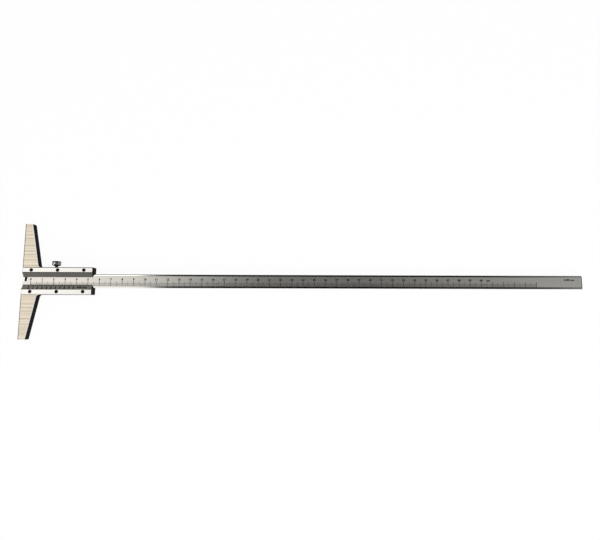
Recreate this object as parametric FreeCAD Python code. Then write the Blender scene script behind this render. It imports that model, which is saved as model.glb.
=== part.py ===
import FreeCAD, Part
import math
import os

# Vernier depth gauge with a T-shaped base, lying on its back.
# All lengths are millimetres. X = 0 is the measuring face and +X runs along the beam,
# Y = 0 is the beam's centre line, and Z = 0 is the underside of the base.

os.makedirs("parts", exist_ok=True)

# One overrun for every cut that has to break through a face
overrun = 1.0

# Running and seating clearances
slide_play = 0.05
spring_play = 0.03
contact_play = 0.02
screw_play = 0.05
thread_play = 0.05
counterbore_play = 0.15
pocket_end_play = 0.25

# Base arms and frame, one piece
base_length = 102.5
base_thickness = 6.2
arm_tip_width = 6.2
arm_root_width = 13.9
frame_width = 24.0
frame_length = 62.0
arm_blend_radius = 2.5
arm_corner_radius = 0.6
base_edge_chamfer = 0.4

# Beam
beam_width = 12.0
beam_thickness = 4.0
beam_length = 499.3
beam_setback = 0.8
beam_bevel_width = 1.4
beam_bevel_drop = 0.5
beam_edge_chamfer = 0.4
beam_end_chamfer = 0.4
tongue_width = 5.6
notch_depth_at_tongue = 3.6
notch_depth_at_edge = 4.8
notch_corner_radius = 0.5
tongue_tip_chamfer = 0.3

# Pocket in the upper rail for the leaf spring
pocket_depth = 0.5
pocket_margin = 6.0

# Leaf spring between the beam and the upper rail
spring_thickness = 0.3
spring_height = 3.8

# Cover plates with their bevels over the beam
plate_thickness = 1.8
plate_setback = 1.55
plate_edge_chamfer = 0.6
plate_flat_share = 0.488
bevel_overhang = 2.7
bevel_edge_thickness = 0.35

# Plate screws
screws_per_plate = 3
screw_start_margin = 7.35
screw_end_margin = 7.3
screw_row_share = 0.459
screw_head_diameter = 2.9
screw_head_height = 1.1
screw_head_sink = 0.05
screw_head_chamfer = 0.15
screw_shank_diameter = 1.6
screw_shank_length = 4.0
screw_hole_spare = 0.3

# Locking screw and its pad
lock_from_middle_screw = 3.2
lock_thread_diameter = 3.0
lock_thread_start = 8.3
lock_pad_diameter = 2.4
lock_pad_length = 2.0
lock_pad_chamfer = 0.2
lock_stem_gap = 1.2
lock_neck_diameter = 3.4
lock_neck_height = 0.5
lock_head_diameter = 7.2
lock_head_height = 4.0
lock_head_chamfer = 0.7
lock_tip_chamfer = 0.4

# Sizes that follow from the ones above
half_base = base_length / 2
half_frame = frame_width / 2
half_beam = beam_width / 2
seat_height = base_thickness
web_thickness = base_thickness - beam_thickness - slide_play * 2
beam_bottom = web_thickness + slide_play
beam_middle = beam_bottom + beam_thickness / 2
channel_half = half_beam + slide_play
pocket_wall = channel_half + pocket_depth
pocket_start = pocket_margin
pocket_end = frame_length - pocket_margin
rail_width = half_frame - pocket_wall
plate_length = frame_length - plate_setback
bevel_edge_offset = half_beam - bevel_overhang
plate_width = half_frame - bevel_edge_offset
bevel_top_offset = half_frame - plate_width * plate_flat_share
screw_span = plate_length - screw_start_margin - screw_end_margin
screw_pitch = screw_span / (screws_per_plate - 1)
screw_first_x = plate_setback + screw_start_margin
screw_row_offset = half_frame - rail_width * screw_row_share
lock_x = screw_first_x + screw_span / 2 - lock_from_middle_screw
plate_top = seat_height + plate_thickness
screw_head_top = plate_top - screw_head_sink
screw_head_bottom = screw_head_top - screw_head_height
spring_inner = half_beam + spring_play
spring_outer = spring_inner + spring_thickness
spring_end_outer = pocket_wall - spring_play
spring_end_inner = spring_end_outer - spring_thickness
spring_start = pocket_start + pocket_end_play
spring_end = pocket_end - pocket_end_play
pad_start = spring_outer + contact_play
pad_end = pad_start + lock_pad_length
lock_tip = pad_end + contact_play
neck_start = half_frame + lock_stem_gap
head_start = neck_start + lock_neck_height
head_end = head_start + lock_head_height


def vec(x, y, z):
    return FreeCAD.Vector(x, y, z)


def box(x_low, x_high, y_low, y_high, z_low, z_high):
    corner = vec(x_low, y_low, z_low)
    return Part.makeBox(x_high - x_low, y_high - y_low, z_high - z_low, corner)


def prism(points, direction):
    loop = Part.makePolygon(points + points[:1])
    return Part.Face(loop).extrude(direction)


def edges_where(shape, test):
    return [edge for edge in shape.Edges if test(edge.BoundBox)]


def upright(bounds):
    return bounds.XLength < contact_play and bounds.YLength < contact_play


# One piece of base and frame: the T outline, blended and edge-broken
def base_blank():
    outline = [
        vec(0, half_base, 0),
        vec(0, -half_base, 0),
        vec(arm_tip_width, -half_base, 0),
        vec(arm_root_width, -half_frame, 0),
        vec(frame_length, -half_frame, 0),
        vec(frame_length, half_frame, 0),
        vec(arm_root_width, half_frame, 0),
        vec(arm_tip_width, half_base, 0),
    ]
    blank = prism(outline, vec(0, 0, base_thickness))

    def at_root(bounds):
        return upright(bounds) and abs(bounds.XMin - arm_root_width) < contact_play

    def at_tip(bounds):
        return upright(bounds) and abs(abs(bounds.YMin) - half_base) < contact_play

    blank = blank.makeFillet(arm_blend_radius, edges_where(blank, at_root))
    blank = blank.makeFillet(arm_corner_radius, edges_where(blank, at_tip))

    def on_top(bounds):
        return bounds.ZMin > base_thickness - contact_play

    return blank.makeChamfer(base_edge_chamfer, edges_where(blank, on_top))


# Guide channel for the beam and the shallow pocket beside it for the leaf spring
def channel_cut():
    channel = box(
        -overrun, frame_length + overrun,
        -channel_half, channel_half,
        web_thickness, base_thickness + overrun,
    )
    pocket = box(
        pocket_start, pocket_end,
        half_beam, pocket_wall,
        web_thickness, base_thickness + overrun,
    )
    return channel.fuse(pocket)


# Tapped hole for the locking screw, with the pad's smaller pilot bore behind it
def lock_hole_cut():
    pilot = Part.makeCylinder(
        lock_pad_diameter / 2 + slide_play,
        half_frame + overrun - half_beam,
        vec(lock_x, half_beam, beam_middle),
        vec(0, 1, 0),
    )
    tapped = Part.makeCylinder(
        lock_thread_diameter / 2 + thread_play,
        half_frame + overrun - lock_thread_start,
        vec(lock_x, lock_thread_start, beam_middle),
        vec(0, 1, 0),
    )
    return pilot.fuse(tapped)


def screw_places(side):
    places = []
    for number in range(screws_per_plate):
        places.append((screw_first_x + number * screw_pitch, side * screw_row_offset))
    return places


def base_frame():
    body = base_blank().cut(channel_cut()).cut(lock_hole_cut())
    hole_bottom = screw_head_bottom - screw_shank_length - screw_hole_spare
    for side in (1, -1):
        for x, y in screw_places(side):
            hole = Part.makeCylinder(
                screw_shank_diameter / 2 + screw_play,
                base_thickness + overrun - hole_bottom,
                vec(x, y, hole_bottom),
            )
            body = body.cut(hole)
    return body.removeSplitter()


# Beam with a shallow bevel along both upper edges and the stepped measuring tip
def beam():
    x_tip = beam_setback
    x_end = beam_setback + beam_length
    y_tongue = tongue_width - half_beam
    z_top = beam_bottom + beam_thickness
    half_section = [
        (half_beam - beam_edge_chamfer, beam_bottom),
        (half_beam, beam_bottom + beam_edge_chamfer),
        (half_beam, z_top - beam_bevel_drop),
        (half_beam - beam_bevel_width, z_top),
    ]
    section = [vec(x_tip, y, z) for y, z in half_section]
    section += [vec(x_tip, -y, z) for y, z in reversed(half_section)]
    body = prism(section, vec(beam_length, 0, 0))

    def at_far_end(bounds):
        return bounds.XMin > x_end - contact_play

    body = body.makeChamfer(beam_end_chamfer, edges_where(body, at_far_end))
    notch_outline = [
        vec(x_tip - overrun, y_tongue, 0),
        vec(x_tip + notch_depth_at_tongue, y_tongue, 0),
        vec(x_tip + notch_depth_at_edge, half_beam, 0),
        vec(x_tip + notch_depth_at_edge, half_beam + overrun, 0),
        vec(x_tip - overrun, half_beam + overrun, 0),
    ]
    body = body.cut(prism(notch_outline, vec(0, 0, z_top + overrun)))

    def in_notch_corner(bounds):
        near_x = abs(bounds.XMin - x_tip - notch_depth_at_tongue) < contact_play
        near_y = abs(bounds.YMin - y_tongue) < contact_play
        return upright(bounds) and near_x and near_y

    body = body.makeFillet(notch_corner_radius, edges_where(body, in_notch_corner))

    def round_tip(bounds):
        return bounds.XMax < x_tip + contact_play

    return body.makeChamfer(tongue_tip_chamfer, edges_where(body, round_tip))


# Cover plate on one rail: flat where it is screwed down, bevelled over the beam
def cover_plate(side):
    profile = [
        vec(plate_setback, side * half_frame, seat_height),
        vec(plate_setback, side * half_frame, plate_top - plate_edge_chamfer),
        vec(plate_setback, side * (half_frame - plate_edge_chamfer), plate_top),
        vec(plate_setback, side * bevel_top_offset, plate_top),
        vec(plate_setback, side * bevel_edge_offset, seat_height + bevel_edge_thickness),
        vec(plate_setback, side * bevel_edge_offset, seat_height),
    ]
    plate = prism(profile, vec(plate_length, 0, 0))
    for x, y in screw_places(side):
        through = Part.makeCylinder(
            screw_shank_diameter / 2 + screw_play,
            plate_thickness + overrun * 2,
            vec(x, y, seat_height - overrun),
        )
        counterbore = Part.makeCylinder(
            screw_head_diameter / 2 + counterbore_play,
            plate_thickness,
            vec(x, y, screw_head_bottom),
        )
        plate = plate.cut(through).cut(counterbore)
    return plate


# Cheese-head screw standing in its counterbore
def plate_screw(x, y):
    shank = Part.makeCylinder(
        screw_shank_diameter / 2,
        screw_shank_length + screw_head_height / 2,
        vec(x, y, screw_head_bottom - screw_shank_length),
    )
    head = Part.makeCylinder(
        screw_head_diameter / 2,
        screw_head_height,
        vec(x, y, screw_head_bottom),
    )

    def top_rim(bounds):
        flat = bounds.ZLength < contact_play
        return flat and bounds.ZMin > screw_head_top - contact_play

    head = head.makeChamfer(screw_head_chamfer, edges_where(head, top_rim))
    return head.fuse(shank)


# Bowed leaf spring: its ends bear on the pocket wall and its middle on the beam
def gib_spring():
    z_low = web_thickness + slide_play
    x_middle = (spring_start + spring_end) / 2
    outer = Part.Arc(
        vec(spring_start, spring_end_outer, z_low),
        vec(x_middle, spring_outer, z_low),
        vec(spring_end, spring_end_outer, z_low),
    ).toShape()
    inner = Part.Arc(
        vec(spring_end, spring_end_inner, z_low),
        vec(x_middle, spring_inner, z_low),
        vec(spring_start, spring_end_inner, z_low),
    ).toShape()
    right_end = Part.makeLine(outer.lastVertex().Point, inner.firstVertex().Point)
    left_end = Part.makeLine(inner.lastVertex().Point, outer.firstVertex().Point)
    loop = Part.Wire([outer, right_end, inner, left_end])
    return Part.Face(loop).extrude(vec(0, 0, spring_height))


def turned_about_lock_axis(profile):
    points = [vec(lock_x + radius, y, beam_middle) for radius, y in profile]
    loop = Part.makePolygon(points + points[:1])
    axis_point = vec(lock_x, 0, beam_middle)
    return Part.Face(loop).revolve(axis_point, vec(0, 1, 0), math.degrees(math.tau))


# Round pad between the locking screw's tip and the leaf spring
def lock_pad():
    radius = lock_pad_diameter / 2
    profile = [
        (0, pad_start),
        (radius - lock_pad_chamfer, pad_start),
        (radius, pad_start + lock_pad_chamfer),
        (radius, pad_end),
        (0, pad_end),
    ]
    return turned_about_lock_axis(profile)


# Locking screw: plain stem for the thread, coned neck and finger head
def lock_screw():
    stem = lock_thread_diameter / 2
    head = lock_head_diameter / 2
    profile = [
        (0, lock_tip),
        (stem - lock_tip_chamfer, lock_tip),
        (stem, lock_tip + lock_tip_chamfer),
        (stem, neck_start),
        (lock_neck_diameter / 2, neck_start),
        (head - lock_head_chamfer, head_start),
        (head, head_start + lock_head_chamfer),
        (head, head_end - lock_head_chamfer),
        (head - lock_head_chamfer, head_end),
        (0, head_end),
    ]
    return turned_about_lock_axis(profile)


nodes = {
    "base_frame": base_frame(),
    "beam": beam(),
    "cover_plate": cover_plate(1),
    "vernier_plate": cover_plate(-1),
    "gib_spring": gib_spring(),
    "lock_pad": lock_pad(),
    "lock_screw": lock_screw(),
}
for plate_name, plate_side in (("cover", 1), ("vernier", -1)):
    for place_number, place in enumerate(screw_places(plate_side), start=1):
        nodes[f"{plate_name}_screw_{place_number}"] = plate_screw(*place)

for name, shape in nodes.items():
    assert shape.isValid() and len(shape.Solids) == 1, name
    shape.exportStep(f"parts/{name}.step")
    print(name, round(shape.Volume, 2), "cubic millimetres")
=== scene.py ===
# %% [markdown]
# # Dressing a vernier depth gauge
#
# A depth gauge is laid across a hole or a slot, and its long beam is pushed down until it touches the
# bottom. The distance is read where the vernier's zero meets the scale on the beam. The CAD model already
# has the right shapes and sizes: a one-piece base and frame, the beam, two bevelled cover plates, their
# screws and the locking screw. What it lacks is all that an eye notices first: ground and plated steel,
# engraved marks, slots, knurling and a thread. This notebook adds them piece by piece, and then lights the
# gauge as the studio photograph does.

# %% Load the gauge and remember its box
import math

import bmesh
import bpy
from mathutils import Matrix, Vector


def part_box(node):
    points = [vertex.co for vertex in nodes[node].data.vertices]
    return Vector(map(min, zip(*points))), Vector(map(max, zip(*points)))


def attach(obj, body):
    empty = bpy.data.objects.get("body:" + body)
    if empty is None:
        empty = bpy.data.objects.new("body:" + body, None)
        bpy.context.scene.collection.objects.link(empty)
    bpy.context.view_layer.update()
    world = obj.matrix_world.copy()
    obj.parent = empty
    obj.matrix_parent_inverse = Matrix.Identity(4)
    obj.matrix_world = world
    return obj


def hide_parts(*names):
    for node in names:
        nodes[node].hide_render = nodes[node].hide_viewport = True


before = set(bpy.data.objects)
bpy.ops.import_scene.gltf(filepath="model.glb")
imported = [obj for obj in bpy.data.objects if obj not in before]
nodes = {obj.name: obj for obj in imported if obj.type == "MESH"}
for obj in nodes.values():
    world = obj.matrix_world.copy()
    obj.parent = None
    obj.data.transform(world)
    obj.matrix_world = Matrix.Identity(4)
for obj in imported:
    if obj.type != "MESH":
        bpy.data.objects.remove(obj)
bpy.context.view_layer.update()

MM = 0.001


# %% [markdown]
# ## A way to write materials as sums
#
# Every finish below is a small calculation: where on the piece are we, which way does the face look, how
# far along a grinding line. Linking Math nodes by hand hides such a calculation, so a `Wire` stands for the
# output of a node and knows the usual signs. `x * 2 + 1` then adds two Math nodes and gives the wire that
# comes out of them. Any other node is made by `Finish.node`, which first sets the node's settings and then
# its sockets.

# %% A wire that can be added and multiplied
class Wire:
    def __init__(self, finish, socket):
        self.finish = finish
        self.socket = socket

    def maths(self, operation, first, second=0.0):
        return self.finish.node("ShaderNodeMath", {"operation": operation}, {0: first, 1: second})

    def __getitem__(self, name):
        return Wire(self.finish, self.socket.node.outputs[name])

    def __add__(self, other):
        return self.maths("ADD", self, other)

    def __radd__(self, other):
        return self.maths("ADD", other, self)

    def __sub__(self, other):
        return self.maths("SUBTRACT", self, other)

    def __rsub__(self, other):
        return self.maths("SUBTRACT", other, self)

    def __mul__(self, other):
        return self.maths("MULTIPLY", self, other)

    def __truediv__(self, other):
        return self.maths("DIVIDE", self, other)

    def __pow__(self, other):
        return self.maths("POWER", self, other)

    def __gt__(self, other):
        return self.maths("GREATER_THAN", self, other)

    def __lt__(self, other):
        return self.maths("LESS_THAN", self, other)

    def __abs__(self):
        return self.maths("ABSOLUTE", self)


# %% A finish: the node tree of one material
class Finish:
    def __init__(self, owner):
        owner.use_nodes = True
        self.owner = owner
        self.tree = owner.node_tree
        self.tree.nodes.clear()

    def node(self, kind, settings=None, values=None):
        made = self.tree.nodes.new(kind)
        for name, setting in (settings or {}).items():
            if name == "stops":
                self.set_stops(made.color_ramp, setting)
            else:
                setattr(made, name, setting)
        for name, value in (values or {}).items():
            self.plug(self.socket(made.inputs, name), value)
        return Wire(self, self.first(made.outputs)) if made.outputs else made

    def socket(self, sockets, name):
        if isinstance(name, int):
            return sockets[name]
        return next(each for each in sockets if each.name == name and each.enabled)

    def first(self, sockets):
        return next(each for each in sockets if each.enabled)

    def set_stops(self, ramp, stops):
        while len(ramp.elements) < len(stops):
            ramp.elements.new(1.0)
        for element, (place, colour) in zip(ramp.elements, stops):
            element.position = place
            element.color = (*colour, 1.0)

    def plug(self, socket, value):
        if isinstance(value, Wire):
            self.tree.links.new(value.socket, socket)
        elif socket.type == "RGBA" and len(value) == 3:
            socket.default_value = (*value, 1.0)
        else:
            socket.default_value = value

    def place(self):
        """Where a point lies on the piece, in millimetres."""
        here = self.node("ShaderNodeTexCoord")["Object"]
        return self.node("ShaderNodeVectorMath", {"operation": "SCALE"}, {"Vector": here, "Scale": 1 / MM})

    def parts(self, vector):
        split = self.node("ShaderNodeSeparateXYZ", None, {"Vector": vector})
        return split["X"], split["Y"], split["Z"]

    def facing(self):
        """Which way the face looks, on the piece's own axes."""
        return self.parts(self.node("ShaderNodeTexCoord")["Normal"])

    def step(self, value, low, high):
        """0 below low, 1 above high, and a smooth rise between."""
        edges = {"Value": value, "From Min": low, "From Max": high}
        return self.node("ShaderNodeMapRange", {"interpolation_type": "SMOOTHSTEP"}, edges)

    def lines(self, vector, stretch, detail=3.0):
        """Noise drawn out by a different amount along each axis, about 0.5 on average."""
        drawn = self.node("ShaderNodeVectorMath", {"operation": "MULTIPLY"}, {0: vector, 1: stretch})
        values = {"Vector": drawn, "Scale": 1.0, "Detail": detail, "Roughness": 0.6}
        return self.node("ShaderNodeTexNoise", None, values)

    def blend(self, factor, first, second):
        """The first colour where factor is 0 and the second where it is 1."""
        values = {"Factor": factor, "A": first, "B": second}
        return self.node("ShaderNodeMix", {"data_type": "RGBA"}, values)

    def between(self, factor, first, second):
        """The same for plain values, such as a roughness."""
        return first + (second - first) * factor

    def bump(self, height, distance):
        return self.node("ShaderNodeBump", None, {"Height": height, "Distance": distance, "Strength": 1.0})

    def seen(self):
        """1 for a ray from the camera or a mirror, and 0 for one that only gathers light."""
        ray = self.node("ShaderNodeLightPath")
        straight = ray["Is Camera Ray"] + ray["Is Glossy Ray"]
        values = {0: straight, 1: ray["Is Transmission Ray"]}
        return self.node("ShaderNodeMath", {"operation": "ADD", "use_clamp": True}, values)

    def surface(self, values):
        shader = self.node("ShaderNodeBsdfPrincipled", None, values)
        self.node("ShaderNodeOutputMaterial", None, {"Surface": shader})
        print("finish", self.owner.name, "has", len(self.tree.nodes), "nodes")
        return self.owner


def new_finish(name):
    return Finish(bpy.data.materials.new(name))


# %% [markdown]
# ## Ground steel with sides painted black
#
# The base and frame are one piece of tool steel. Its broad faces were passed under a grinding wheel, which
# leaves fine lines straight across the arms, faint bands where the wheel was moved over, and a warm,
# slightly yellow grey. The walls around the outline and the channel are painted black, which stands for
# their dark reflection and for the shade inside the channel, and the grinding has cut a clean bright line
# along the arms' broken edges. The measuring face at the left was lapped along its own length, because it
# has to be flat and true, and a strip of painted shade lies along its top edge and on the broken edge beside
# it. No
# picture is needed for this: the direction of a face tells a wall from a top, and the place of a point tells
# the black walls from the measuring face.

# %% The finish of the base and frame
CHANNEL_HEIGHTS = (2.0, 5.0)
ARMS_REACH = 15.5
MEASURING_FACE_REACH = 0.3
MEASURING_EDGE_REACH = 1.0


def ground_steel():
    f = new_finish("ground_steel")
    place = f.place()
    x, y, z = f.parts(place)
    nx, ny, nz = f.facing()
    # Painted shade: the walls and the channel get a near-black colour that stands for their dark reflection
    # and for the shade inside the channel.
    in_channel = (z > CHANNEL_HEIGHTS[0]) * (z < CHANNEL_HEIGHTS[1])
    level = f.step(abs(nz), 0.8, 0.9) * (1.0 - in_channel)
    cut_edge = (f.step(abs(nz), 0.55, 0.65) - f.step(abs(nz), 0.8, 0.9)) * (x < ARMS_REACH)
    painted_wall_shade = (1.0 - level - cut_edge) * (x > MEASURING_FACE_REACH)
    rubbed = f.step(f.lines(place, (0.5, 0.5, 0.9)), 0.6, 0.68) * f.step(z, 5.2, 5.9) * 0.5
    painted_wall_shade = painted_wall_shade * (1.0 - rubbed)
    measuring = abs(nx) > 0.7
    clouds = f.lines(place, (0.06, 0.06, 0.06), 2.0)
    bands = f.lines(place, (0.003, 0.62, 0.0), 1.0)
    fine = f.between(measuring, f.lines(place, (0.03, 6.0, 0.0)), f.lines(place, (0.0, 0.03, 12.0)))
    tone = f.step(bands * 0.55 + fine * 0.35 + clouds * 0.1, 0.38, 0.62)
    steel = f.blend(tone, (0.54, 0.475, 0.392), (0.83, 0.75, 0.647))
    lapped = f.blend(fine, (0.6, 0.58, 0.55), (0.8, 0.78, 0.745))
    steel = f.blend(measuring, steel, lapped)
    # Painted shade: a dark strip on the top face along the measuring face, and the broken edges beside it,
    # are coloured near black.
    edge_shade_black = (0.04, 0.037, 0.034)
    rim = level * (1.0 - f.step(x, 0.75, 0.85)) * 0.85
    steel = f.blend(rim, steel, edge_shade_black)
    edge = f.blend(x > MEASURING_EDGE_REACH, edge_shade_black, (0.95, 0.935, 0.91))
    steel = f.blend(cut_edge, steel, edge)
    # The near-black colour painted on the walls and in the channel as shade.
    near_black_wall_shade = f.blend(clouds, (0.003, 0.003, 0.004), (0.009, 0.008, 0.008))
    return f.surface({
        "Base Color": f.blend(painted_wall_shade, steel, near_black_wall_shade),
        "Metallic": 1.0 - painted_wall_shade,
        "Roughness": f.between(painted_wall_shade, 0.3 + fine * 0.22, 0.62 + clouds * 0.15),
        "Specular IOR Level": 0.06,
        "Normal": f.bump(fine * (1.0 - painted_wall_shade) + clouds * painted_wall_shade, 0.004 * MM),
    })


# %% [markdown]
# ## Satin chrome on the beam
#
# The beam is ground lengthwise and plated with satin chrome, so that the light doesn't glare on the scale.
# Its two long bevels are polished: they show as bright lines where they mirror a bright part of the room
# and as black ones elsewhere. A satin face is a mirror whose tiny lines all run one way, so its reflections
# spread out, and the roughness is what separates the face from its bevels here. A thin black line is painted
# along the upper rim and across the far end, standing for their dark reflection, and painted shade darkens
# the two edges between the face and its bevels.

# %% The finish of the beam
def beam_chrome():
    f = new_finish("beam_chrome")
    place = f.place()
    x, y, z = f.parts(place)
    nx, ny, nz = f.facing()
    polished = f.step(abs(ny), 0.15, 0.25) - f.step(abs(ny), 0.5, 0.6)
    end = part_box("beam")[1][0] / MM
    # Painted dark reflection: a black line along the upper rim and a black strip at the far end.
    painted_rim_line = f.step(y, 5.4, 5.5) * f.step(nz, 0.3, 0.5)
    painted_dark_end = f.step(x, end - 0.95, end - 0.85)
    painted_dark_lines = painted_rim_line + painted_dark_end
    # Painted shade: a dark line along the two edges where the face meets its bevels.
    painted_bevel_edge_shade = f.step(abs(y), 4.35, 4.45) * f.step(nz, 0.94, 0.97) * 0.8
    grain = f.lines(place, (0.02, 9.0, 9.0), 4.0)
    clouds = f.lines(place, (0.018, 0.35, 0.35))
    tone = f.step(grain * 0.55 + clouds * 0.45, 0.32, 0.68)
    satin = f.blend(tone, (0.6, 0.59, 0.563), (0.7, 0.69, 0.662))
    plated = f.blend(polished, satin, (0.75, 0.75, 0.74))
    return f.surface({
        "Base Color": f.blend(painted_dark_lines + painted_bevel_edge_shade, plated, (0.025, 0.025, 0.025)),
        "Metallic": 1.0,
        "Roughness": f.between(polished, 0.19 + grain * 0.12, 0.05 + clouds * 0.08) + painted_dark_lines * 0.3,
        "Normal": f.bump(grain * (1.0 - polished), 0.003 * MM),
    })


# %% [markdown]
# ## The cover plates
#
# Both plates are chrome plated as well. Their flat rims are nearly white in the photograph, and their
# bevels, which carry the vernier on the lower side, are matt grey so that the marks can be read. A dark line
# is painted along the top of each bevel, and painted shade along the vernier's foot beside the beam. The
# saw-cut ends at the right are painted black like the frame's walls, and so are the long outer sides and the
# broken edge of the upper plate, as their dark reflection.

# %% The finish of the cover plates
OUTER_SIDES = 11.0


def plate_chrome(name):
    f = new_finish(name)
    place = f.place()
    x, y, z = f.parts(place)
    nx, ny, nz = f.facing()
    matt = f.step(abs(ny), 0.2, 0.3) - f.step(abs(ny), 0.5, 0.6)
    # Painted dark reflection: the end faces, the long outer sides and the upper plate's broken edge are
    # coloured near black.
    painted_dark_end = f.step(nx, 0.8, 0.95)
    painted_long_sides_dark = (f.step(ny, 0.6, 0.65) + f.step(0.0 - ny, 0.9, 0.95)) * (abs(y) > OUTER_SIDES)
    painted_dark_sides = painted_dark_end + painted_long_sides_dark
    grain = f.lines(place, (0.05, 8.0, 8.0))
    clouds = f.lines(place, (0.12, 0.4, 0.4))
    bright = f.blend(grain * 0.5 + clouds * 0.5, (0.72, 0.715, 0.705), (0.84, 0.835, 0.825))
    blasted = f.blend(grain * 0.6 + clouds * 0.4, (0.112, 0.108, 0.102), (0.185, 0.18, 0.171))
    # A dark line painted along the top of each bevel, and painted shade along the vernier's foot beside the
    # beam.
    dark_line_at_bevel_top = f.step(z, 7.78, 7.88)
    painted_shade_at_vernier_foot = (1.0 - f.step(z, 6.7, 6.78)) * (y < 0.0)
    blasted = f.blend((dark_line_at_bevel_top + painted_shade_at_vernier_foot) * 0.75, blasted, (0.02, 0.02, 0.02))
    colour = f.blend(painted_dark_sides, f.blend(matt, bright, blasted), (0.006, 0.006, 0.006))
    return f.surface({
        "Base Color": colour,
        "Metallic": 1.0 - painted_dark_sides,
        "Roughness": f.between(matt, 0.2 + grain * 0.12, 0.4 + grain * 0.15) + painted_dark_sides * 0.3,
        "Specular IOR Level": 0.06,
        "Normal": f.bump(grain, 0.003 * MM),
    })


# %% [markdown]
# ## The small parts' finishes
#
# The plate screws are blackened steel, dull with oil. The leaf spring is rolled bronze and the pad at the
# locking screw's tip is turned brass, both hidden inside the frame until someone looks along the channel.
# Black enamel fills the engraved lines. These differ in colour, grain and gloss only, so one recipe makes
# them all.

# %% A dull metal with fine grain and cloudy tarnish
def worn_metal(name, dark, light, stretch, roughness, metallic=1.0, gloss=0.5):
    f = new_finish(name)
    place = f.place()
    grain = f.lines(place, stretch)
    clouds = f.lines(place, (0.5, 0.5, 0.5))
    tone = f.step(grain * 0.5 + clouds * 0.5, 0.35, 0.65)
    return f.surface({
        "Base Color": f.blend(tone, dark, light),
        "Metallic": metallic,
        "Roughness": roughness + clouds * 0.18,
        "Specular IOR Level": gloss,
        "Normal": f.bump(grain, 0.004 * MM),
    })


ground = ground_steel()
chrome = beam_chrome()
upper_chrome = plate_chrome("upper_plate_chrome")
lower_chrome = plate_chrome("lower_plate_chrome")
blackened = worn_metal("blackened_steel", (0.004, 0.004, 0.005), (0.02, 0.019, 0.017), (4.0, 4.0, 4.0), 0.34)
bronze = worn_metal("rolled_bronze", (0.5, 0.31, 0.16), (0.66, 0.45, 0.26), (0.1, 6.0, 6.0), 0.28)
brass = worn_metal("turned_brass", (0.58, 0.43, 0.18), (0.74, 0.58, 0.3), (0.6, 9.0, 0.6), 0.22)
enamel = worn_metal("black_enamel", (0.004, 0.004, 0.004), (0.013, 0.012, 0.012), (2.0, 2.0, 2.0), 0.5,
                    metallic=0.0, gloss=0.1)

# %% Give each CAD piece its finish
def paint(node, material):
    piece = nodes[node]
    if not piece.material_slots:
        piece.data.materials.append(material)
    for slot in piece.material_slots:
        slot.material = material


paint("base_frame", ground)
paint("beam", chrome)
paint("cover_plate", upper_chrome)
paint("vernier_plate", lower_chrome)
paint("gib_spring", bronze)
paint("lock_pad", brass)
print("the scene has", len(bpy.data.materials), "materials so far")

# %% [markdown]
# ## From a bmesh to a piece
#
# A new piece is modelled in a bmesh and then becomes an object that rides on one of the gauge's moving
# bodies, and may replace the CAD piece that it stands for. Its place is in its mesh, so that the object
# itself stays at the origin like the CAD pieces.

# %% Turn a bmesh into a piece that rides on a body
def finish_piece(bm, name, material, body, replaced=(), round_below=35):
    mesh = bpy.data.meshes.new(name)
    bm.to_mesh(mesh)
    bm.free()
    mesh.materials.append(material)
    mesh.shade_smooth()
    mesh.set_sharp_from_angle(angle=math.radians(round_below))
    piece = bpy.data.objects.new(name, mesh)
    bpy.context.scene.collection.objects.link(piece)
    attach(piece, body)
    if replaced:
        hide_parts(*replaced)
    print(name, "rides on", body, "with", len(mesh.polygons), "faces")
    return piece


# %% [markdown]
# ## The scale on the beam
#
# The scale was engraved by a dividing machine and filled with black enamel. Each line is a bar a hundredth
# of a millimetre proud of the steel, far less than the play under the plates. Every line starts at the same
# height on the beam. It ends lower for a millimetre, higher for five and highest for ten, and each
# centimetre has its number above it. The zero lies as far from the beam's tip as the vernier's zero from
# the measuring face, so that the two meet when the tip is level with the base. In the photograph the beam
# is drawn in by 0.8 mm, and the two zeros stand apart by as much.

# %% A bar and the lines of the beam's scale
PROUD = 0.01
BEAM_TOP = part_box("beam")[1][2] / MM
BEAM_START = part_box("beam")[0][0] / MM
ZERO_INSET = 7.2
SCALE_ZERO = BEAM_START + ZERO_INSET
SCALE_LENGTH = 450
LINE_FOOT = -4.55
LINE_HEADS = {1: -1.4, 5: -0.6, 10: 0.15}
LINE_WIDTHS = {1: 0.28, 5: 0.4, 10: 0.5}


def add_bar(bm, x, low, high, width, spot):
    """One engraved line from low to high, with spot placing the flat drawing on its face."""
    size = Matrix.Diagonal((width * MM, (high - low) * MM, 2 * PROUD * MM, 1))
    middle = Matrix.Translation((x * MM, (low + high) / 2 * MM, 0))
    bmesh.ops.create_cube(bm, size=1.0, matrix=spot @ middle @ size)


on_beam = Matrix.Translation((0, 0, BEAM_TOP * MM))
lines = bmesh.new()
for step in range(SCALE_LENGTH + 1):
    kind = max(every for every in LINE_HEADS if step % every == 0)
    add_bar(lines, SCALE_ZERO + step, LINE_FOOT, LINE_HEADS[kind], LINE_WIDTHS[kind], on_beam)
finish_piece(lines, "scale_lines", enamel, "beam")

# %% [markdown]
# ## Numbers
#
# Numbers come from a text object with Blender's own plain typeface, in which a digit is 0.7 of the text's
# size tall. The text is made a mesh, scaled to the wanted height and placed, so the letters are real black
# inlays like the lines.

# %% Write a word as a mesh and add it to a bmesh
FONT_DIGIT = 0.7


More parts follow.
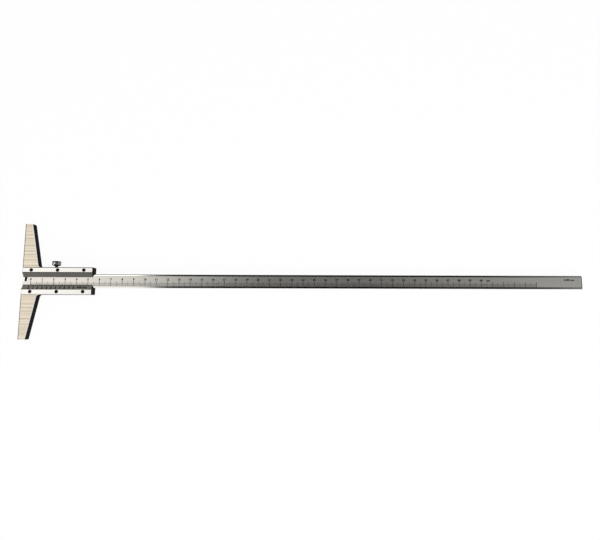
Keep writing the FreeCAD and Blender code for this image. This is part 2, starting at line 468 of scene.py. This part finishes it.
def add_word(bm, word, x, y, height, spot):
    """A word whose digits are height tall, centred on x and y of its face."""
    curve = bpy.data.curves.new("word", type="FONT")
    curve.body = word
    curve.align_x = "CENTER"
    curve.resolution_u = 3
    curve.extrude = 0.004
    curve.offset = 0.05
    text = bpy.data.objects.new("word", curve)
    mesh = bpy.data.meshes.new_from_object(text)
    grow = Matrix.Scale(height / FONT_DIGIT * MM, 4)
    rise = Matrix.Translation((x * MM, (y - height / 2) * MM, 0))
    mesh.transform(spot @ rise @ grow)
    bm.from_mesh(mesh)
    bpy.data.objects.remove(text)
    bpy.data.curves.remove(curve)
    bpy.data.meshes.remove(mesh)


NUMBER_HEIGHT = 1.8
NUMBER_LINE = 1.6
LAST_NUMBER = 40
UNIT_AFTER_ZERO = 406.3
RANGE_PLACE = (488.0, 2.3)
RANGE_HEIGHT = 1.6

numbers = bmesh.new()
for centimetre in range(LAST_NUMBER + 1):
    add_word(numbers, str(centimetre), SCALE_ZERO + 10 * centimetre, NUMBER_LINE, NUMBER_HEIGHT, on_beam)
add_word(numbers, "cm", SCALE_ZERO + UNIT_AFTER_ZERO, NUMBER_LINE, NUMBER_HEIGHT, on_beam)
add_word(numbers, "0-400 mm", *RANGE_PLACE, RANGE_HEIGHT, on_beam)
finish_piece(numbers, "scale_numbers", enamel, "beam")

# %% [markdown]
# ## The vernier
#
# The vernier divides 39 mm of the scale into 20 steps of 1.95 mm, so its lines drift past the millimetres
# by a twentieth of a millimetre each. Reading it means finding the one line that meets a line of the scale.
# It is engraved on the sloping bevel of the lower plate, right down to the edge, so that both sets of lines
# meet without a gap. The drawing is made flat and then tilted by the bevel's own slope.

# %% The vernier on the lower plate's bevel
BEVEL_EDGE = (-3.3, 6.55)
BEVEL_TOP = (-7.75, 8.0)
VERNIER_STEP = 1.95
VERNIER_STEPS = 20
LONG_MARK = 1.8
SHORT_MARK = 1.3
MARK_START = 0.02
DIGIT_LINE = -3.05
DIGIT_HEIGHT = 2.0
STEP_PLACE = (53.4, -2.3)
STEP_HEIGHT = 1.7
slope = math.atan2(BEVEL_TOP[1] - BEVEL_EDGE[1], BEVEL_EDGE[0] - BEVEL_TOP[0])
on_bevel = Matrix.Translation((0, BEVEL_EDGE[0] * MM, BEVEL_EDGE[1] * MM)) @ Matrix.Rotation(-slope, 4, "X")

vernier = bmesh.new()
for step in range(VERNIER_STEPS + 1):
    numbered = step % 2 == 0
    reach = LONG_MARK if numbered else SHORT_MARK
    along = ZERO_INSET + VERNIER_STEP * step
    add_bar(vernier, along, -reach, -MARK_START, LINE_WIDTHS[10], on_bevel)
    if numbered:
        add_word(vernier, str(step // 2 % 10), along, DIGIT_LINE, DIGIT_HEIGHT, on_bevel)
add_word(vernier, "0.05 mm", *STEP_PLACE, STEP_HEIGHT, on_bevel)
finish_piece(vernier, "vernier_marks", enamel, "frame")
print("the bevel slopes by", round(math.degrees(slope), 1), "degrees")

# %% [markdown]
# ## Turning
#
# Screws and knobs are turned on a lathe, and bmesh's spin is that lathe: half of the outline, as a chain of
# points, is swept once round the axis. The points on the axis then lie on top of each other and are merged,
# and the normals are made to look outwards.

# %% A lathe for outlines of radius and height
TOUCHING = 0.0005 * MM
ON_PLANE = 0.0001 * MM


def turned(outline, steps):
    """A solid turned about Z from points of (radius, height) in millimetres."""
    bm = bmesh.new()
    points = [bm.verts.new((radius * MM, 0, height * MM)) for radius, height in outline]
    chain = [bm.edges.new(pair) for pair in zip(points, points[1:])]
    bmesh.ops.spin(bm, geom=points + chain, cent=(0, 0, 0), axis=(0, 0, 1), angle=math.tau, steps=steps,
                   use_merge=True, use_duplicate=False)
    bmesh.ops.remove_doubles(bm, verts=bm.verts, dist=TOUCHING)
    bmesh.ops.recalc_face_normals(bm, faces=bm.faces)
    return bm


def cut(bm, height, along, keep_above):
    """Cuts a closed solid at a plane square to along, keeps one side and closes it again."""
    everything = list(bm.verts) + list(bm.edges) + list(bm.faces)
    where = Vector(along) * height * MM
    made = bmesh.ops.bisect_plane(bm, geom=everything, plane_co=where, plane_no=along, dist=ON_PLANE,
                                  clear_inner=keep_above, clear_outer=not keep_above)
    rim = [each for each in made["geom_cut"] if isinstance(each, bmesh.types.BMEdge)]
    bmesh.ops.edgeloop_fill(bm, edges=rim)
    bmesh.ops.recalc_face_normals(bm, faces=bm.faces)
    return bm


# %% [markdown]
# ## The plate screws
#
# Six small cheese-head screws hold the plates. A head is turned with a small rounded shoulder. The slot
# isn't cut out of it: the head is divided at the slot's floor, and two half-moons stand on the lower disc
# with the slot's width between them, sunk a little into it so that the solids overlap. That needs only
# straight cuts, which are easier to trust than a boolean. No fitter leaves all the slots in line, so each
# screw gets a turn of its own.

# %% Model a slotted screw and place six of them
SLOT_WIDTH = 0.42
SLOT_DEPTH = 0.5
HALF_SINK = 0.05
HEAD_HEIGHT = 1.1
HEAD_ROUND = 0.13
HEAD_BREAK = 0.08
SHANK_RADIUS = 0.8
SHANK_BREAK = 0.3
SCREW_SIDES = 40


def add_turned(bm, part, spot):
    """Adds a finished solid to a piece at its place."""
    mesh = bpy.data.meshes.new("part")
    bmesh.ops.transform(part, matrix=spot, verts=part.verts)
    part.to_mesh(mesh)
    part.free()
    bm.from_mesh(mesh)
    bpy.data.meshes.remove(mesh)


def screw_outline(radius, length):
    """Half the screw from the middle of its head at height 0 down to its end."""
    rounded = [
        (radius - HEAD_ROUND * (1 - math.sin(angle)), -HEAD_ROUND * (1 - math.cos(angle)))
        for angle in (0, 0.4, 0.8, 1.2, math.pi / 2)
    ]
    underside = [(radius, HEAD_BREAK - HEAD_HEIGHT), (radius - HEAD_BREAK, -HEAD_HEIGHT)]
    shank = [(SHANK_RADIUS, -HEAD_HEIGHT), (SHANK_RADIUS, SHANK_BREAK - length)]
    end = [(SHANK_RADIUS - SHANK_BREAK, -length), (0, -length)]
    return [(0, 0)] + rounded + underside + shank + end


def slotted_screw(node, turn):
    low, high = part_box(node)
    outline = screw_outline((high[0] - low[0]) / 2 / MM, (high[2] - low[2]) / MM)
    top = Matrix.Translation(((low[0] + high[0]) / 2, (low[1] + high[1]) / 2, high[2]))
    spot = top @ Matrix.Rotation(turn, 4, "Z")
    screw = bmesh.new()
    add_turned(screw, cut(turned(outline, SCREW_SIDES), -SLOT_DEPTH, (0, 0, 1), False), spot)
    for side in (0, math.pi):
        half = cut(turned(outline, SCREW_SIDES), -SLOT_DEPTH - HALF_SINK, (0, 0, 1), True)
        half = cut(half, SLOT_WIDTH / 2, (0, 1, 0), True)
        add_turned(screw, half, spot @ Matrix.Rotation(side, 4, "Z"))
    finish_piece(screw, node + "_slotted", blackened, "frame", (node,))


SCREW_TURNS = {
    "cover_screw_1": -45, "cover_screw_2": 24, "cover_screw_3": 71,
    "vernier_screw_1": 12, "vernier_screw_2": -63, "vernier_screw_3": 38,
}
for node, degrees in SCREW_TURNS.items():
    slotted_screw(node, math.radians(degrees))

# %% [markdown]
# ## The locking screw
#
# A finger tightens this screw onto the leaf spring, so its head is knurled: a wheel with a crossed pattern
# was pressed into the turning blank and raised small pyramids. They are modelled by turning the rim with
# many rows of points and pulling every second one inwards, like the squares of a chessboard. Each square is
# then creased from one pulled point to the other, which is its shorter diagonal, so that the grooves cross
# and leave a pyramid at every other point. The thread is a true helix, a small triangle swept round the
# shank with a rise of half a millimetre a turn, because rings would never screw in.
#
# The steel was darkened, and since then fingers have polished the tips of the pyramids while the grooves
# between them stayed black. How far a point lies from the screw's axis tells the two apart. The tips of the
# rows beside the head's outer end are painted black as well.

# %% The finish of the locking screw
LOCK_LOW, LOCK_HIGH = [[v / MM for v in corner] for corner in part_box("lock_screw")]
LOCK_LENGTH = LOCK_HIGH[1] - LOCK_LOW[1]
LOCK_X = (LOCK_LOW[0] + LOCK_HIGH[0]) / 2
LOCK_Z = (LOCK_LOW[2] + LOCK_HIGH[2]) / 2
KNOB_RADIUS = (LOCK_HIGH[0] - LOCK_LOW[0]) / 2
KNURL_DEPTH = 0.16


def knurled_steel():
    f = new_finish("knurled_steel")
    place = f.place()
    x, y, z = f.parts(place)
    across = x - LOCK_X
    above = z - LOCK_Z
    radius = (across * across + above * above) ** 0.5
    # The tips beside the head's outer end are painted black too.
    outer_rows = f.step(y, LOCK_HIGH[1] - 1.4, LOCK_HIGH[1] - 1.1)
    tips = f.step(radius, KNOB_RADIUS - 0.14, KNOB_RADIUS - 0.04) * (1.0 - outer_rows)
    grain = f.lines(place, (3.0, 6.0, 3.0))
    clouds = f.lines(place, (0.5, 0.5, 0.5))
    worn = f.step(clouds, 0.38, 0.5)
    polished = f.blend(worn, (0.15, 0.147, 0.142), (0.9, 0.89, 0.87))
    darkened = f.blend(grain, (0.02, 0.02, 0.02), (0.12, 0.117, 0.112))
    return f.surface({
        "Base Color": f.blend(tips, darkened, polished),
        "Metallic": 1.0,
        "Roughness": f.between(tips, 0.3 + grain * 0.15, 0.14 + clouds * 0.15),
        "Normal": f.bump(grain, 0.004 * MM),
    })


knurled = knurled_steel()

# %% The head of the locking screw, knurled
KNOB_HEIGHT = 4.0
NECK_RADIUS = 1.7
NECK_HEIGHT = 0.5
NECK_BREAK = 0.15
SHOULDER_WIDTH = 1.0
CROWN = [(0.45, 0.12), (0.7, 0.0), (1.3, 0.0)]
DISH_RADIUS = 1.6
DISH_DEPTH = 0.3
KNURLS = 64
KNURL_ROWS = 17
KNURL_FOOT = 0.55
KNURL_END = 0.5
NEARLY = 0.01


def knurled_head():
    """The knob from the neck's foot at height 0 to its dished end, with CROWN measured from its corner."""
    foot = NECK_HEIGHT
    top = NECK_HEIGHT + KNOB_HEIGHT
    low = foot + KNURL_FOOT
    high = top - KNURL_END
    rim = [(KNOB_RADIUS, low + (high - low) * row / (KNURL_ROWS - 1)) for row in range(KNURL_ROWS)]
    neck = [(0, 0), (NECK_RADIUS - NECK_BREAK, 0), (NECK_RADIUS, NECK_BREAK), (NECK_RADIUS, foot)]
    shoulder = [(KNOB_RADIUS - SHOULDER_WIDTH, foot)]
    crown = [(KNOB_RADIUS - inwards, top - down) for inwards, down in CROWN]
    dish = [(DISH_RADIUS, top - DISH_DEPTH), (0, top - DISH_DEPTH)]
    bm = turned(neck + shoulder + rim + crown + dish, 2 * KNURLS)
    for vert in bm.verts:
        flat = vert.co.to_2d()
        if flat.length < (KNOB_RADIUS - NEARLY) * MM:
            continue
        column = round(math.atan2(flat.y, flat.x) / math.tau * 2 * KNURLS)
        row = round((vert.co.z / MM - low) / (high - low) * (KNURL_ROWS - 1))
        if (column + row) % 2:
            shrunk = flat * (1 - KNURL_DEPTH / KNOB_RADIUS)
            vert.co = (shrunk.x, shrunk.y, vert.co.z)
    inner = (KNOB_RADIUS - KNURL_DEPTH - NEARLY) * MM
    knurls = [face for face in bm.faces if all(vert.co.to_2d().length > inner for vert in face.verts)]
    bmesh.ops.triangulate(bm, faces=knurls, quad_method="SHORT_EDGE")
    return bm


# %% The thread of the locking screw, and the whole screw
THREAD_RADIUS = 1.5
THREAD_PITCH = 0.5
THREAD_DEPTH = 0.3
THREAD_SINK = 0.03
THREAD_GAP = 0.02
CREST_HALF = 0.04
THREAD_START = 0.15
THREAD_ENDS = 0.25
CORE_BREAK = 0.2
TURN_STEPS = 28


def helix(length):
    """A closed ridge, a triangle with a blunt crest, that winds up the shank from height 0."""
    bm = bmesh.new()
    root = THREAD_RADIUS - THREAD_DEPTH - THREAD_SINK
    crest = THREAD_PITCH / 2
    inner = [(root, THREAD_GAP), (root, THREAD_PITCH - THREAD_GAP)]
    outer = [(THREAD_RADIUS, crest + CREST_HALF), (THREAD_RADIUS, crest - CREST_HALF)]
    corners = [bm.verts.new((radius * MM, 0, height * MM)) for radius, height in inner + outer]
    face = bm.faces.new(corners)
    turns = (length - THREAD_PITCH) / THREAD_PITCH
    steps = round(turns * TURN_STEPS)
    bmesh.ops.spin(bm, geom=[face] + list(face.edges) + corners, cent=(0, 0, 0), axis=(0, 0, 1),
                   dvec=(0, 0, THREAD_PITCH / TURN_STEPS * MM), angle=math.tau * turns, steps=steps,
                   use_merge=False, use_duplicate=False)
    bmesh.ops.remove_doubles(bm, verts=bm.verts, dist=TOUCHING)
    bmesh.ops.recalc_face_normals(bm, faces=bm.faces)
    return bm


def locking_screw():
    shank_length = LOCK_LENGTH - KNOB_HEIGHT - NECK_HEIGHT
    core = THREAD_RADIUS - THREAD_DEPTH
    tip = Matrix.Translation((LOCK_X * MM, LOCK_LOW[1] * MM, LOCK_Z * MM))
    along = tip @ Matrix.Rotation(-math.pi / 2, 4, "X")
    shank = [(0, 0), (core - CORE_BREAK, 0), (core, CORE_BREAK), (core, shank_length), (0, shank_length)]
    screw = bmesh.new()
    add_turned(screw, turned(shank, TURN_STEPS), along)
    ridge = helix(shank_length - THREAD_ENDS)
    add_turned(screw, ridge, along @ Matrix.Translation((0, 0, THREAD_START * MM)))
    add_turned(screw, knurled_head(), along @ Matrix.Translation((0, 0, shank_length * MM)))
    return finish_piece(screw, "lock_screw_knurled", knurled, "lock_screw", ("lock_screw",),
                        round_below=20)


lock_screw = locking_screw()

# %% [markdown]
# ## The studio
#
# The gauge lies on its back on a white sheet. The sheet shows white to the camera and to mirrors, but part
# of it still takes shadow, so the gauge stands on something. Polished steel has no colour of its own to
# speak of: it shows the room. The room is pale all round, with three darker strips overhead: one behind the
# camera, which the beam's face mirrors, and one on either side of it, which its two bevels mirror. Each
# strip is bright at its left end, dark further on and paler again at its right end, and that alone makes
# the beam go from light at the left to dark in the middle and back again. Low down the room is plain white
# to a mirror, and a little darker as a light.

# %% The white sheet
GLOW_SHARE = 0.96
SHEET_SIZE = 6.0
SHEET_PLACE = (0.25, 0, -0.02 * MM)


def paper():
    f = new_finish("white_sheet")
    fibres = f.lines(f.place(), (0.4, 0.4, 0.4))
    white = f.blend(fibres, (0.86, 0.86, 0.86), (0.9, 0.9, 0.9))
    sheet = f.node("ShaderNodeBsdfDiffuse", None, {"Color": white})
    glow = f.node("ShaderNodeEmission", None, {"Color": (1.0, 1.0, 1.0), "Strength": 1.0})
    both = f.node("ShaderNodeMixShader", None, {0: f.seen() * GLOW_SHARE, 1: sheet, 2: glow})
    f.node("ShaderNodeOutputMaterial", None, {"Surface": both})
    return f.owner


def white_sheet():
    bm = bmesh.new()
    place = Matrix.Translation(SHEET_PLACE)
    bmesh.ops.create_grid(bm, x_segments=1, y_segments=1, size=SHEET_SIZE, matrix=place)
    mesh = bpy.data.meshes.new("white_sheet")
    bm.to_mesh(mesh)
    bm.free()
    mesh.materials.append(paper())
    sheet = bpy.data.objects.new("white_sheet", mesh)
    bpy.context.scene.collection.objects.link(sheet)
    print("the sheet is one face with", len(mesh.vertices), "corners")


white_sheet()

# %% The room that the steel mirrors
PALE = [(-0.5, 1.3), (-0.33, 1.1), (-0.2, 0.75), (0.55, 0.7)]
OVERHEAD = [
    (-0.5, 1.36), (-0.4, 1.28), (-0.33, 0.98), (-0.22, 0.48), (-0.15, 0.15), (0.0, 0.15),
    (0.17, 0.175), (0.235, 0.1), (0.29, 0.245), (0.35, 0.35), (0.41, 0.29), (0.53, 0.5),
]
UPPER_BEVEL = [
    (-0.335, 2.0), (-0.31, 0.5), (-0.28, 0.02), (0.38, 0.01), (0.45, 0.06), (0.52, 0.2), (0.6, 0.6),
]
LOWER_BEVEL = [(-0.325, 1.2), (-0.285, 0.01), (0.45, 0.005), (0.52, 0.06), (0.56, 0.22), (0.62, 0.6)]
STRIPS = [(OVERHEAD, 0.08, 0.27), (UPPER_BEVEL, 0.98, 0.25), (LOWER_BEVEL, -0.69, 0.22)]
STRIP_FADE = 0.1
HORIZON = (0.42, 0.56)


def self_lit(f, dx, levels):
    """How bright the room is from left, -1, to right, 1, and a little warm where it is bright."""
    stops = []
    for place, bright in levels:
        colour = (bright, bright * (1 - 0.02 * bright), bright * (1 - 0.06 * bright))
        stops.append(((place + 1) / 2, colour))
    return f.node("ShaderNodeValToRGB", {"stops": stops}, {"Fac": dx * 0.5 + 0.5})


def room():
    f = Finish(bpy.data.worlds.new("studio_room"))
    towards = f.node("ShaderNodeTexCoord")["Generated"]
    dx, dy, dz = f.parts(towards)
    slant = dy / dz
    whole = self_lit(f, dx, PALE)
    for levels, middle, reach in STRIPS:
        strip = 1.0 - f.step(abs(slant - middle), reach, reach + STRIP_FADE)
        whole = f.blend(strip, whole, self_lit(f, dx, levels))
    horizon = f.blend(f.seen(), (0.75, 0.75, 0.75), (1.0, 1.0, 1.0))
    whole = f.blend(f.step(dz, *HORIZON), horizon, whole)
    light = f.node("ShaderNodeBackground", None, {"Color": whole, "Strength": 1.0})
    f.node("ShaderNodeOutputWorld", None, {"Surface": light})
    bpy.context.scene.world = f.owner
    print("the room has", len(STRIPS), "strips overhead, made with", len(f.tree.nodes), "nodes")


room()

# %% [markdown]
# ## Lamps and camera
#
# One broad lamp in front on the right gives the soft shadow. Its face is hidden from mirrors, as a studio
# hides it with a flag: flat steel that mirrors a lamp burns out to plain white, here for everyone who looks
# from behind. Only the knurled head needs the sparkle, so it alone is linked to a second lamp in the same
# place. The camera hangs over the middle of the beam, close enough for its wide lens to show the right-hand
# walls of the frame, which lie at the far left of the picture.

# %% The lamp and the camera
def soft_box(name, place, target, size, level):
    """A square lamp whose face is as bright as level."""
    lamp = bpy.data.lights.new(name, type="AREA")
    lamp.shape = "SQUARE"
    lamp.size = size
    lamp.energy = level * math.pi * size * size
    box = bpy.data.objects.new(name, lamp)
    box.location = place
    box.rotation_euler = (Vector(target) - Vector(place)).to_track_quat("-Z", "Y").to_euler()
    bpy.context.scene.collection.objects.link(box)
    return box


LAMP_PLACE = (0.6, -1.36, 0.75)
LAMP_TARGET = (0.2, 0, 0)
LAMP_SIZE = 0.7
LAMP_LEVEL = 16.0
GLINT_LEVEL = 40.0
lamp = soft_box("soft_box", LAMP_PLACE, LAMP_TARGET, LAMP_SIZE, LAMP_LEVEL)
lamp.visible_glossy = False

glint = soft_box("glint_on_the_knurling", LAMP_PLACE, LAMP_TARGET, LAMP_SIZE, GLINT_LEVEL)
glint.light_linking.receiver_collection = bpy.data.collections.new("shown_the_glint")
glint.light_linking.receiver_collection.objects.link(lock_screw)

SENSOR_WIDTH = 36
FOCAL_LENGTH = 25.98
CAMERA_PLACE = (0.237855, -0.033274, 0.390647)
CAMERA_TURN = (6.4902, -1.1066, 0.0844)
view = bpy.data.cameras.new("studio_camera")
view.sensor_width = SENSOR_WIDTH
view.lens = FOCAL_LENGTH
camera = bpy.data.objects.new("studio_camera", view)
camera.location = CAMERA_PLACE
camera.rotation_euler = [math.radians(degrees) for degrees in CAMERA_TURN]
bpy.context.scene.collection.objects.link(camera)
bpy.context.scene.camera = camera
bpy.context.scene.view_settings.view_transform = "Standard"
print("the camera takes in", round(math.degrees(view.angle), 1), "degrees across")
